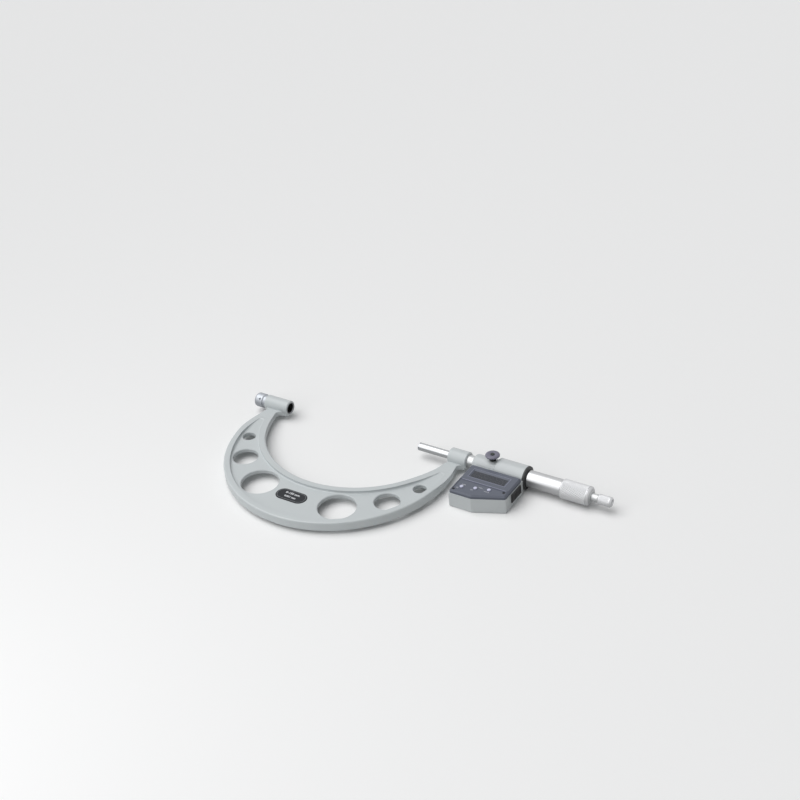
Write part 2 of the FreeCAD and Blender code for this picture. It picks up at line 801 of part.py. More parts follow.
def make_panel_screws():
    out = []
    top = key_area_z - loose_gap
    for x, y in screw_spots:
        head = upright(x, y, top - screw_head_tall, top, screw_head_r)
        screw = head.fuse(upright(x, y, top - screw_len, top - screw_head_tall, screw_shank_r))
        for turn in (0, 90):
            blade = box(x - 0.7, x + 0.7, y - 0.13, y + 0.13, top - 0.35, top + 1)
            blade.rotate(V(x, y, 0), V(0, 0, 1), turn + 20)
            screw = screw.cut(blade)
        out.append(screw)
    return Part.makeCompound(out)


def make_button(x, y):
    r = button_r
    skirt = r + button_flange
    z0 = key_switch_z + button_travel
    flange_z = z0 + 0.55
    top = key_area_z + 0.95
    return turned_upright(x, y, [
        (0, z0), (skirt, z0), (skirt, flange_z), (r, flange_z), (r, top - 0.35), (r - 0.3, top - 0.1), (0, top),
    ])


def make_spindle():
    r = spindle_r
    x0 = spindle_tip_x + tip_len
    end = screw_x1 + 7
    body = turned([
        (x0, 0), (x0, r), (screw_x0, r), (screw_x0 + 0.7, screw_r), (screw_x1, screw_r),
        (end, 3.1), (end, stem_r), (screw_x1 + 1, stem_r), (screw_x1 + 1, 0),
    ])
    # keyway for the encoder rotor, long enough for the whole travel
    key_x0 = rotor_x0 - travel - 0.5
    return body.cut(box(key_x0, rotor_x1 + 0.5, -key_half, key_half, -r - 1, -r + key_depth + running_gap))


def make_tip():
    r = spindle_r
    x0 = spindle_tip_x
    x1 = x0 + tip_len
    return turned([(x0, 0), (x0, r - 0.25), (x0 + 0.25, r), (x1, r), (x1, 0)])


def make_thimble():
    bore = rear_sleeve_r + running_gap
    x0 = thimble_x0
    k0 = knurl_x0
    k1 = knurl_x1
    x1 = thimble_x1
    floor_x = x1 - thimble_floor
    grip = knurl_r
    boss_x = screw_x1 + 7
    neck = stem_r + 1.1
    return turned([
        (x0, bore), (x0, thimble_r - 0.4), (x0 + 0.4, thimble_r), (k0 - 0.5, thimble_r),
        (k0 - 0.3, grip - 0.5), (k0 + 0.3, grip), (k1, grip), (k1 + 0.2, grip - 0.5),
        (k1 + 0.7, grip - 0.5), (k1 + 0.9, grip - 0.1), (x1 - 1.6, grip - 0.1),
        (x1, grip - 1.9), (x1, stem_flange_r), (floor_x, stem_flange_r), (floor_x, neck),
        (boss_x + 0.2, neck), (boss_x + 0.2, 3.1), (boss_x, 3.1), (screw_x1, screw_r), (screw_x1, bore),
    ])


def make_ratchet_stem():
    x1 = thimble_x1
    floor_x = x1 - thimble_floor
    flange = stem_flange_r
    pin_x1 = ratchet_x1 - ratchet_pin_short
    return turned([
        (screw_x1 + 2, 0), (screw_x1 + 2, stem_r), (floor_x, stem_r), (floor_x, flange), (x1 + 0.2, flange),
        (x1 + 0.6, flange - 0.4), (x1 + 0.6, ratchet_neck_r), (ratchet_neck_x1, ratchet_neck_r),
        (ratchet_neck_x1, ratchet_pin_r), (pin_x1, ratchet_pin_r), (pin_x1, 0),
    ])


def make_ratchet_knob():
    r = ratchet_r
    x0 = ratchet_x0
    x1 = ratchet_x1
    bore = ratchet_pin_r + running_gap
    wall_x = x1 - ratchet_pin_short + ratchet_gap
    return turned([
        (x0, bore), (x0, r - 0.5), (x0 + 0.5, r), (x1 - 1.2, r), (x1, r - 1.0), (x1, 2.2), (x1 - 0.7, 2.0),
        (x1 - 0.7, 0), (wall_x, 0), (wall_x, bore),
    ])


os.makedirs("parts", exist_ok=True)
save("frame", make_frame())
save("anvil_bush", make_anvil_bush())
save("anvil_cap", make_anvil_cap())
save("frame_badge", make_badge())
save("front_sleeve", make_front_sleeve())
save("rear_sleeve", make_rear_sleeve())
save("adjusting_nut", make_adjusting_nut())
save("housing", make_housing())
save("end_seal", make_end_seal())
save("display_panel", make_panel())
save("display_window", make_window())
save("display_module", make_display())
save("circuit_board", make_board())
save("encoder_stator", make_stator())
save("encoder_rotor", make_rotor())
save("battery_cell", make_battery())
save("battery_contact", make_battery_contact())
save("battery_cap", make_battery_cap())
save("data_port", make_port())
save("port_cover", make_port_cover())
save("clamp_knob", make_clamp_knob())
save("clamp_stem", make_clamp_stem())
save("clamp_pad", make_clamp_pad())
save("panel_screws", make_panel_screws())
for number, (x, y) in enumerate(button_spots, 1):
    save("button_%d" % number, make_button(x, y))
save("spindle", make_spindle())
save("spindle_tip", make_tip())
save("thimble", make_thimble())
save("ratchet_stem", make_ratchet_stem())
save("ratchet_knob", make_ratchet_knob())
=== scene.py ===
import json
import math

import bmesh
import bpy
from mathutils import Matrix, Vector


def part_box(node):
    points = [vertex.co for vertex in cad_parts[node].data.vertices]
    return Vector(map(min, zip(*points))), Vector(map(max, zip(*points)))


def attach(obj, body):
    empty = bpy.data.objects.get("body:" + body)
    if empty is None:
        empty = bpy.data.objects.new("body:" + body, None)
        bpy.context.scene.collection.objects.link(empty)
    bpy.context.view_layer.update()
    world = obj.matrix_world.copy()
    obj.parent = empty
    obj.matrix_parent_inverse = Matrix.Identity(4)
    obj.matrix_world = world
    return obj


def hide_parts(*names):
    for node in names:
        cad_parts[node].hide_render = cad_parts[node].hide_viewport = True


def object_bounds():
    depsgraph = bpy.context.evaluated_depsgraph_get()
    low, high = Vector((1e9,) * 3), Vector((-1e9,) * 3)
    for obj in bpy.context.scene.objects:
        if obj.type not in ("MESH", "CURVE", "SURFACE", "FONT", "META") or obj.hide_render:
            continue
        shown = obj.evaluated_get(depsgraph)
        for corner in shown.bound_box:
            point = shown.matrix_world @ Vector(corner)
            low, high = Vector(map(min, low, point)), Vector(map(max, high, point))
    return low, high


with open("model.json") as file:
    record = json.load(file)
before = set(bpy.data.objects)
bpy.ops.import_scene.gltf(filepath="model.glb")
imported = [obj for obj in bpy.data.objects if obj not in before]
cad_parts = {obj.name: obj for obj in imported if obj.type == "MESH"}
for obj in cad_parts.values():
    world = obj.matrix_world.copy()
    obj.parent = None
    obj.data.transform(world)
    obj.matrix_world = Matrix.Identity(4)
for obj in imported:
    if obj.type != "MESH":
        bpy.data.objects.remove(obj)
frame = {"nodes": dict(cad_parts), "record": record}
cadLow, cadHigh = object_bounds()
mm = 0.001
near = 0.01  # mm, how close two measures have to be to count as the same
print("stage: frame loaded,", len(frame["nodes"]), "nodes")


# ways of modelling that several pieces share

def clearSelection():
    if bpy.context.object and bpy.context.object.mode == "EDIT":
        bpy.ops.object.mode_set(mode="OBJECT")
    bpy.ops.object.select_all(action="DESELECT")


def openForEdit(piece):
    clearSelection()
    piece.select_set(True)
    bpy.context.view_layer.objects.active = piece
    bpy.ops.object.mode_set(mode="EDIT")
    bpy.ops.mesh.select_all(action="DESELECT")


def selectVerts(piece, wanted):
    # wanted tells from a point in mm if its vertex is picked
    bpy.context.tool_settings.mesh_select_mode = (True, False, False)
    data = bmesh.from_edit_mesh(piece.data)
    for vert in data.verts:
        vert.select_set(wanted(vert.co / mm))
    data.select_flush(True)
    data.select_flush_mode()
    bmesh.update_edit_mesh(piece.data)


def closeSmooth(piece, angle):
    bpy.ops.mesh.select_all(action="SELECT")
    bpy.ops.mesh.remove_doubles(threshold=0.002 * mm)
    bpy.ops.mesh.normals_make_consistent(inside=False)
    bpy.ops.object.mode_set(mode="OBJECT")
    bpy.ops.object.shade_smooth_by_angle(angle=math.radians(angle))


def settle(piece):
    # the piece's place goes into its mesh, and its object to the origin
    clearSelection()
    piece.select_set(True)
    bpy.context.view_layer.objects.active = piece
    bpy.ops.object.transform_apply(location=True, rotation=True, scale=True)


def turnOnLathe(name, profile, sides, uprightAt=None):
    # profile is a loop of (place, radius) in mm, turned about the measuring axis, or about an
    # upright axis where uprightAt gives its x and y
    clearSelection()
    place, radius = profile[0]
    bpy.ops.mesh.primitive_circle_add(vertices=sides, radius=radius * mm, fill_type="NOTHING")
    piece = bpy.context.object
    piece.name = name
    if uprightAt:
        along = (0, 0, 1)
        origin = (uprightAt[0] * mm, uprightAt[1] * mm, 0)
    else:
        along = (1, 0, 0)
        origin = (0, 0, 0)
        piece.rotation_euler = (0, math.pi / 2, 0)
    piece.location = [start + step * place * mm for start, step in zip(origin, along)]
    settle(piece)
    openForEdit(piece)
    bpy.ops.mesh.select_all(action="SELECT")
    for (place, radius), (nextPlace, nextRadius) in zip(profile, profile[1:]):
        shift = [step * (nextPlace - place) * mm for step in along]
        bpy.ops.mesh.extrude_region_move(TRANSFORM_OT_translate={"value": shift})
        grow = [1 if step else nextRadius / radius for step in along]
        middle = [start + step * nextPlace * mm for start, step in zip(origin, along)]
        bpy.ops.transform.resize(value=grow, center_override=middle)
    return piece


def roundedBlock(name, low, high, bevel, segments=2):
    # a block between two corners, in mm, with its edges rounded
    clearSelection()
    middle = [(a + b) / 2 * mm for a, b in zip(low, high)]
    bpy.ops.mesh.primitive_cube_add(size=1, location=middle)
    piece = bpy.context.object
    piece.name = name
    piece.scale = [(b - a) * mm for a, b in zip(low, high)]
    settle(piece)
    openForEdit(piece)
    bpy.ops.mesh.select_all(action="SELECT")
    bpy.ops.mesh.bevel(offset=bevel * mm, segments=segments)
    return piece


def finishPiece(piece, finish, body, angle=30):
    closeSmooth(piece, angle)
    piece.data.materials.append(finishes[finish])
    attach(piece, body)


def knurl(piece, low, high, radius, rows, sides, depth):
    # the plain band between low and high gets rows of points, every second one pressed in, so
    # that crossed valleys leave rows of small pyramids
    bpy.context.tool_settings.mesh_select_mode = (False, True, False)
    data = bmesh.from_edit_mesh(piece.data)
    for edge in data.edges:
        ends = sorted(vert.co.x / mm for vert in edge.verts)
        away = [math.hypot(vert.co.y, vert.co.z) / mm for vert in edge.verts]
        onBand = abs(ends[0] - low) < near and abs(ends[1] - high) < near
        edge.select_set(onBand and min(away) > radius - near)
    bmesh.update_edit_mesh(piece.data)
    bpy.ops.mesh.subdivide(number_cuts=rows - 1)
    step = (high - low) / rows
    turn = 2 * math.pi / sides

    def pressed(point):
        row = (point.x - low) / step
        if row < 0.5 or row > rows - 0.5 or math.hypot(point.y, point.z) < radius - near:
            return False
        column = math.atan2(point.z, point.y) / turn
        return (round(row) + round(column)) % 2 == 0

    selectVerts(piece, pressed)
    shrink = (radius - depth) / radius
    bpy.ops.transform.resize(value=(1, shrink, shrink), center_override=(0, 0, 0))
    selectVerts(piece, lambda point: low - near < point.x < high + near
                and math.hypot(point.y, point.z) > radius - depth - near)
    bpy.ops.mesh.quads_convert_to_tris(quad_method="SHORTEST_DIAGONAL")


# shader values as Python sums

class Value:
    def __init__(self, finish, socket):
        self.finish = finish
        self.socket = socket

    def sum(self, operation, first, second):
        return self.finish.node("ShaderNodeMath", {"operation": operation}, {0: first, 1: second})

    def __add__(self, other):
        return self.sum("ADD", self, other)

    def __radd__(self, other):
        return self.sum("ADD", other, self)

    def __sub__(self, other):
        return self.sum("SUBTRACT", self, other)

    def __rsub__(self, other):
        return self.sum("SUBTRACT", other, self)

    def __mul__(self, other):
        return self.sum("MULTIPLY", self, other)

    def __rmul__(self, other):
        return self.sum("MULTIPLY", other, self)


class Finish:
    # one material: fixed values go straight to the shader, varying ones come as Values
    def __init__(self, name, colour, metal=0.0, rough=0.4, **fixed):
        self.material = bpy.data.materials.new(name)
        self.material.use_nodes = True
        self.tree = self.material.node_tree
        self.shader = self.tree.nodes["Principled BSDF"]
        self.colour = colour
        self.give("Base Color", (*colour, 1.0))
        self.give("Metallic", metal)
        self.give("Roughness", rough)
        for socket, value in fixed.items():
            self.give(socket.replace("_", " "), value)

    def give(self, socket, value):
        if isinstance(value, Value):
            self.tree.links.new(value.socket, self.shader.inputs[socket])
        else:
            self.shader.inputs[socket].default_value = value

    def node(self, kind, settings=None, inputs=None, output=0):
        made = self.tree.nodes.new(kind)
        for name, value in (settings or {}).items():
            setattr(made, name, value)
        for name, value in (inputs or {}).items():
            if isinstance(value, Value):
                self.tree.links.new(value.socket, made.inputs[name])
            else:
                made.inputs[name].default_value = value
        return Value(self, made.outputs[output])

    def place(self, stretch=(1, 1, 1)):
        # Object coordinates, in metres, stretched by stretch
        coords = self.node("ShaderNodeTexCoord", output=3)
        return self.node("ShaderNodeMapping", {}, {"Vector": coords, "Scale": stretch})

    def noise(self, scale, detail=2.0, stretch=(1, 1, 1)):
        inputs = {"Vector": self.place(stretch), "Scale": scale, "Detail": detail}
        return self.node("ShaderNodeTexNoise", {}, inputs)

    def shade(self, darker, lighter, amount):
        # a mix from the colour times darker to the colour times lighter
        low, high = [tuple(channel * factor for channel in self.colour) for factor in (darker, lighter)]
        return self.mix(low, high, amount)

    def mix(self, first, second, amount):
        inputs = {0: amount, 6: (*first, 1.0), 7: (*second, 1.0)}
        return self.node("ShaderNodeMix", {"data_type": "RGBA"}, inputs, output=2)

    def bump(self, height, distance, strength=1.0):
        inputs = {"Height": height, "Distance": distance, "Strength": strength}
        return self.node("ShaderNodeBump", {}, inputs)


def enamel(name, colour):
    # smooth sprayed enamel over a casting: faint waviness, faint clouding, gloss that varies a little
    finish = Finish(name, colour, rough=0.38, Coat_Roughness=0.22, Specular_IOR_Level=0.45)
    clouds = finish.noise(60.0, 3.0)
    grain = finish.noise(1400.0, 2.0)
    finish.give("Base Color", finish.shade(0.95, 1.03, clouds * 0.7 + grain * 0.3))
    finish.give("Roughness", 0.33 + 0.12 * grain)
    finish.give("Coat Weight", 0.35 + 0.1 * clouds)
    finish.give("Normal", finish.bump(finish.noise(700.0, 2.0) + 0.3 * grain, 0.00003, 0.5))
    return finish.material


def turnedSteel(name, colour, rough):
    # metal finished on a lathe: fine rings around the measuring axis and faint streaks
    finish = Finish(name, colour, metal=1.0, rough=rough)
    rings = finish.noise(5200.0, 2.0, (1, 0.01, 0.01))
    smear = finish.noise(120.0, 3.0)
    finish.give("Base Color", finish.shade(0.93, 1.03, smear))
    finish.give("Roughness", rough - 0.03 + 0.06 * rings + 0.04 * smear)
    finish.give("Normal", finish.bump(rings, 0.000004, 0.5))
    return finish.material


def gripSteel(name, colour, rough, gripFrom):
    # as turned steel, and paler from gripFrom metres on: a painted sheen standing in for the light that the
    # knurl's points catch all round
    finish = Finish(name, colour, metal=1.0, rough=rough)
    rings = finish.noise(5200.0, 2.0, (1, 0.01, 0.01))
    smear = finish.noise(120.0, 3.0)
    coords = finish.node("ShaderNodeTexCoord", output=3)
    along = finish.node("ShaderNodeSeparateXYZ", {}, {"Vector": coords})
    inputs = {0: along - gripFrom, 1: 4000.0}
    onGripPaintedSheen = finish.node("ShaderNodeMath", {"operation": "MULTIPLY", "use_clamp": True}, inputs)
    # painted sheen: the base colour turns paler over the grip, where the knurl would catch light; the rougher
    # grip is real
    finish.give("Base Color", finish.shade(0.93, 1.2, 0.35 * smear + 0.65 * onGripPaintedSheen))
    finish.give("Roughness", rough - 0.03 + 0.06 * rings + 0.04 * smear + 0.11 * onGripPaintedSheen)
    finish.give("Normal", finish.bump(rings, 0.000004, 0.5))
    return finish.material


def groundSteel(name, colour, rough):
    finish = Finish(name, colour, metal=1.0, rough=rough)
    marks = finish.noise(2600.0, 3.0, (1, 0.3, 0.3))
    smear = finish.noise(90.0, 2.0)
    finish.give("Base Color", finish.shade(0.92, 1.04, smear * 0.8 + marks * 0.2))
    finish.give("Roughness", rough - 0.02 + 0.04 * marks)
    finish.give("Normal", finish.bump(marks, 0.000001, 0.4))
    return finish.material


def mouldedPlastic(name, colour, rough, gloss=0.4, grainSize=3200.0, grainDepth=0.00002):
    # fine spark-eroded grain with slight wear in colour
    finish = Finish(name, colour, rough=rough, Specular_IOR_Level=gloss)
    grain = finish.noise(grainSize, 2.0)
    clouds = finish.noise(130.0, 2.0)
    finish.give("Base Color", finish.shade(0.9, 1.1, clouds * 0.5 + grain * 0.5))
    finish.give("Roughness", rough - 0.06 + 0.12 * grain)
    finish.give("Normal", finish.bump(grain, grainDepth, 0.6))
    return finish.material


def softRubber(name, colour):
    finish = Finish(name, colour, rough=0.72, Sheen_Weight=0.15, Sheen_Roughness=0.5)
    grain = finish.noise(4200.0, 3.0)
    dust = finish.noise(300.0, 2.0)
    finish.give("Base Color", finish.shade(0.8, 1.5, dust))
    finish.give("Roughness", 0.64 + 0.16 * grain)
    finish.give("Normal", finish.bump(grain, 0.00003, 0.7))
    return finish.material


def darkGlass(name, colour):
    # the window over the switched-off display
    finish = Finish(name, colour, rough=0.3, Specular_IOR_Level=0.2)
    depth = finish.noise(900.0, 3.0)
    finish.give("Base Color", finish.shade(0.6, 1.4, depth))
    finish.give("Roughness", 0.22 + 0.1 * depth)
    return finish.material


def circuitResin(name, colour):
    finish = Finish(name, colour, rough=0.35, Coat_Weight=0.4)
    weave = finish.noise(2000.0, 1.0)
    finish.give("Base Color", finish.shade(0.8, 1.2, weave))
    return finish.material


def whiteInk(name, colour):
    finish = Finish(name, colour, rough=0.5)
    cover = finish.noise(5200.0, 2.0)
    finish.give("Base Color", finish.shade(0.86, 1.04, cover))
    return finish.material


finishes = {
    "frame_paint": enamel("framePaint", (0.565, 0.602, 0.612)),
    "housing_paint": enamel("housingPaint", (0.56, 0.59, 0.60)),
    "hard_steel": groundSteel("hardSteel", (0.43, 0.44, 0.45), 0.26),
    "cap_steel": groundSteel("capSteel", (0.38, 0.4, 0.43), 0.46),
    "bush_steel": groundSteel("bushSteel", (0.2, 0.205, 0.215), 0.36),
    "satin_chrome": turnedSteel("satinChrome", (0.49, 0.50, 0.505), 0.4),
    # the thimble's and ratchet's grips get a painted sheen from this finish
    "thimble_chrome": gripSteel("thimbleChrome", (0.49, 0.495, 0.505), 0.34, 0.2546),
    "carbide": groundSteel("carbide", (0.36, 0.37, 0.39), 0.18),
    "badge_black": mouldedPlastic("badgeBlack", (0.02, 0.022, 0.026), 0.5, gloss=0.2),
    "seal_black": mouldedPlastic("sealBlack", (0.042, 0.043, 0.045), 0.45),
    "rubber_black": softRubber("rubberBlack", (0.018, 0.018, 0.02)),
    "panel_plastic": mouldedPlastic("panelPlastic", (0.118, 0.13, 0.165), 0.5),
    # pale grey that paints the highlights on the panel's window border and key ridge
    "painted_highlight_grey": mouldedPlastic("paintedHighlightGrey", (0.25, 0.26, 0.34), 0.42),
    "window_clear": darkGlass("windowDark", (0.062, 0.066, 0.078)),
    "lcd_grey": darkGlass("displayGrey", (0.10, 0.105, 0.11)),
    "board_green": circuitResin("boardGreen", (0.02, 0.12, 0.06)),
    "brass": groundSteel("brass", (0.62, 0.44, 0.2), 0.3),
    "battery_steel": groundSteel("batterySteel", (0.62, 0.62, 0.6), 0.25),
    "knob_plastic": mouldedPlastic("knobPlastic", (0.185, 0.18, 0.235), 0.3),
    "stem_black": groundSteel("stemBlack", (0.06, 0.066, 0.062), 0.38),
    "screw_black": groundSteel("screwBlack", (0.05, 0.05, 0.055), 0.35),
    "button_white": mouldedPlastic("buttonWhite", (0.62, 0.63, 0.78), 0.3),
    "ink": whiteInk("whiteInk", (0.78, 0.79, 0.82)),
    "badge_line": whiteInk("badgeLine", (0.2, 0.21, 0.22)),
}
# nodes that look unlike the rest of their slot
ownFinish = {"anvil_cap": "cap_steel", "anvil_bush": "bush_steel"}
for part in frame["record"]["subparts"]:
    node = frame["nodes"][part["node"]]
    node.data.materials.clear()
    node.data.materials.append(finishes[ownFinish.get(part["node"], part["material_slot"])])
print("stage: finishes made,", len(finishes))


# thimble: smooth barrel, knurled grip, groove and bevelled end ring

thimble = {
    "sides": 60, "gripRows": 24, "gripDepth": 0.34, "barrelRadius": 6.8, "gripRadius": 7.8,
    "gripStart": 254.8, "gripEnd": 276.3, "end": 278.3,
    "bore": 5.25, "taperAt": 264.0, "seatAt": 271.2,  # inside: where the taper starts and where its seat ends
}


def makeThimble(size):
    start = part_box("thimble")[0].x / mm
    grip = size["gripRadius"]
    barrel = size["barrelRadius"]
    first = size["gripStart"]
    last = size["gripEnd"]
    end = size["end"]
    inner = size["bore"]
    seat = size["seatAt"]
    taper = size["taperAt"]
    profile = [
        (start, inner), (start, barrel - 0.4), (start + 0.1, barrel - 0.15), (start + 0.35, barrel),
        (first - 0.5, barrel), (first - 0.3, barrel + 0.1), (first - 0.15, grip - 0.45), (first + 0.3, grip),
        (last - 0.05, grip), (last + 0.15, grip - 0.45), (last + 0.4, grip - 0.45), (last + 0.5, grip - 0.2),
        (last + 0.65, grip - 0.1), (end - 1.2, grip - 0.1), (end - 1.05, grip - 0.2),
        (end - 0.15, grip - 1.3), (end, grip - 1.5), (end, 5.0), (end - 3.2, 5.0), (end - 3.2, 2.6),
        (seat, 2.6), (seat, 3.1), (seat - 0.2, 3.1), (taper, 3.95), (taper, inner), (start, inner),
    ]
    piece = turnOnLathe("thimbleBody", profile, size["sides"])
    knurl(piece, first + 0.3, last - 0.05, grip, size["gripRows"], size["sides"], size["gripDepth"])
    finishPiece(piece, "thimble_chrome", "spindle_body", 24)
    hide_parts("thimble")


makeThimble(thimble)
print("stage: thimble made")


# ratchet knob: fine knurl, rounded ends and a dished face

ratchet = {"sides": 40, "rows": 14, "depth": 0.2, "radius": 4.1, "bore": 1.65, "start": 284.5, "end": 295.5}


def makeRatchet(size):
    radius = size["radius"]
    start = size["start"]
    end = size["end"]
    bore = size["bore"]
    profile = [
        (start, bore), (start, radius - 0.5), (start + 0.12, radius - 0.25), (start + 0.5, radius),
        (end - 1.3, radius), (end - 1.1, radius - 0.1), (end - 0.15, radius - 0.95), (end, radius - 1.1),
        (end, 2.3), (end - 0.12, 2.15), (end - 0.6, 2.0), (end - 0.7, 1.8), (end - 0.7, 0.01),
    ]
    inside = [(end - 1.8, 0.01), (end - 1.8, bore), (start, bore)]
    piece = turnOnLathe("ratchetGrip", profile + inside, size["sides"])
    knurl(piece, start + 0.5, end - 1.3, radius, size["rows"], size["sides"], size["depth"])
    finishPiece(piece, "thimble_chrome", "ratchet", 24)
    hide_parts("ratchet_knob")


makeRatchet(ratchet)
print("stage: ratchet made")


# clamp knob: moulded disc with a fluted rim and a dished top around the stem's end

clampKnob = {"sides": 72, "fluteEvery": 4, "fluteDepth": 0.2, "bore": 1.62, "lip": 0.35}


def makeClampKnob(size):
    low, high = [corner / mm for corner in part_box("clamp_knob")]
    radius = (high.x - low.x) / 2 + size["lip"]
    bore = size["bore"]
    at = ((low.x + high.x) / 2, 0)
    foot, top = low.z, high.z
    profile = [
        (foot, bore), (foot, radius - 2.6), (foot + 0.5, radius - 1.6), (top - 1.5, radius - 0.2),
        (top - 1.35, radius), (top - 0.75, radius), (top - 0.4, radius - 0.2), (top - 0.1, radius - 0.7),
        (top + 0.08, radius - 1.3), (top + 0.2, radius - 2.1), (top + 0.2, radius - 2.5),
        (top + 0.1, radius - 2.9), (top - 0.15, bore + 0.45), (top - 0.25, bore), (foot, bore),
    ]
    piece = turnOnLathe("clampKnobDisc", profile, size["sides"], at)
    turn = 2 * math.pi / size["sides"]

    def onFlute(point):
        away = math.hypot(point.x - at[0], point.y)
        column = round(math.atan2(point.y, point.x - at[0]) / turn)
        return away > radius - 0.25 and column % size["fluteEvery"] == 0

    selectVerts(piece, onFlute)
    shrink = (radius - size["fluteDepth"]) / radius
    bpy.ops.transform.resize(value=(shrink, shrink, 1), center_override=(at[0] * mm, 0, 0))
    finishPiece(piece, "knob_plastic", "clamp", 40)
    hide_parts("clamp_knob")


makeClampKnob(clampKnob)
print("stage: clamp knob made")


# port cover: soft rubber lid with a plug behind it and upright ribs to grip

portCover = {
    "lidThick": 0.9, "round": 0.35, "lap": 1.0,
    "ribs": 7, "ribWide": 0.75, "ribInset": 1.1, "ribShort": 0.8, "ribRound": 0.2,
}


def makePortCover(size):
    low, high = [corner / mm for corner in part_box("port_cover")]
    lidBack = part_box("housing")[1].x / mm + 0.1
    lidFront = lidBack + size["lidThick"]
    piece = roundedBlock("portLid", (lidBack, low.y, low.z), (lidFront, high.y, high.z), size["round"])
    finishPiece(piece, "rubber_black", "port_cover")
    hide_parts("port_cover")
    lap = size["lap"]
    plug = roundedBlock(
        "portPlug", (low.x, low.y + lap, low.z + lap), (lidBack + 0.3, high.y - lap, high.z - lap),
        size["ribRound"])
    finishPiece(plug, "rubber_black", "port_cover")
    first = low.y + size["ribInset"]
    step = (high.y - low.y - 2 * size["ribInset"]) / (size["ribs"] - 1)
    half = size["ribWide"] / 2
    short = size["ribShort"]
    rib = roundedBlock(
        "portRib1", (lidFront - 0.3, first - half, low.z + short), (high.x, first + half, high.z - short),
        size["ribRound"])
    finishPiece(rib, "rubber_black", "port_cover")
    for number in range(1, size["ribs"]):
        clearSelection()
        rib.select_set(True)
        bpy.context.view_layer.objects.active = rib
        bpy.ops.object.duplicate()
        copy = bpy.context.object
        copy.name = "portRib%d" % (number + 1)
        bpy.ops.transform.translate(value=(0, number * step * mm, 0))
        settle(copy)
        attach(copy, "port_cover")


makePortCover(portCover)
print("stage: port cover made")


# panel highlights: a pale border around the window and a pale ridge above the keys, painted highlights
# standing in for the light caught by the window recess's edge and the edge of the step down to the keys

panelPaintedHighlights = {
    "borderWide": 0.42, "borderSide": 1.2, "borderBack": 1.6, "borderTall": 0.05,
    "ridgeDrop": 5.6, "ridgeWide": 0.7, "ridgeLow": 0.35, "ridgeTall": 0.12, "ridgeInset": 2.4,
    "ridgeRound": 0.16,
}


def makePanelPaintedHighlights(size):
    low, high = [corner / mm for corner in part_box("display_window")]
    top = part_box("display_panel")[1].z / mm
    clearSelection()
    left, right = low.x - size["borderSide"], high.x + size["borderSide"]
    front, back = low.y - size["borderSide"], high.y + size["borderBack"]
    wide = size["borderWide"]
    middle = ((left + right) / 2 * mm, (front + back) / 2 * mm, top * mm)
    bpy.ops.mesh.primitive_plane_add(size=1, location=middle)
    border = bpy.context.object
    border.name = "windowBorderHighlight"
    border.scale = ((right - left + 2 * wide) * mm, (back - front + 2 * wide) * mm, 1)
    settle(border)
    openForEdit(border)
    bpy.ops.mesh.select_all(action="SELECT")
    bpy.ops.mesh.inset(thickness=wide * mm)
    bpy.ops.mesh.delete(type="FACE")
    bpy.ops.mesh.select_all(action="SELECT")
    bpy.ops.mesh.extrude_region_move(TRANSFORM_OT_translate={"value": (0, 0, size["borderTall"] * mm)})
    # the border's pale grey is a painted highlight around the window recess
    finishPiece(border, "painted_highlight_grey", "frame_body")
    panelLow, panelHigh = [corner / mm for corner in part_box("display_panel")]
    stepY = low.y - size["ridgeDrop"]
    half = size["ridgeWide"] / 2
    inset = size["ridgeInset"]
    # the ridge's pale grey is a painted highlight along the edge of the step down to the keys
    ridge = roundedBlock(
        "panelRidgeHighlight", (panelLow.x + inset, stepY - half, top - size["ridgeLow"]),
        (panelHigh.x - inset, stepY + half, top + size["ridgeTall"]), size["ridgeRound"], 3)
    finishPiece(ridge, "painted_highlight_grey", "frame_body")


makePanelPaintedHighlights(panelPaintedHighlights)
print("stage: panel trim made")


# words and numbers, all generic

def printWords(name, words, place, height, tall, bolder=0.0):
    clearSelection()
    bpy.ops.object.text_add()
    piece = bpy.context.object
    piece.name = name
    piece.data.body = words
    piece.data.size = height * mm
    piece.data.extrude = tall * mm
    piece.data.align_x = "CENTER"
    piece.data.align_y = "CENTER"
    piece.data.resolution_u = 3
    piece.data.offset = bolder * mm
    bpy.ops.object.convert(target="MESH")
    piece = bpy.context.object
    piece.location = tuple(value * mm for value in place)
    settle(piece)
    piece.data.materials.append(finishes["ink"])
    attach(piece, "frame_body")


badge = {
    # words, place above the badge's middle, height of the letters
    "words": [("0-150 mm", 2.3, 3.1), ("0.001 mm", -1.9, 2.6)], "wordsTall": 0.05, "bolder": 0.09,
    "borderInset": 1.0, "borderWide": 0.3, "borderTall": 0.05,
}


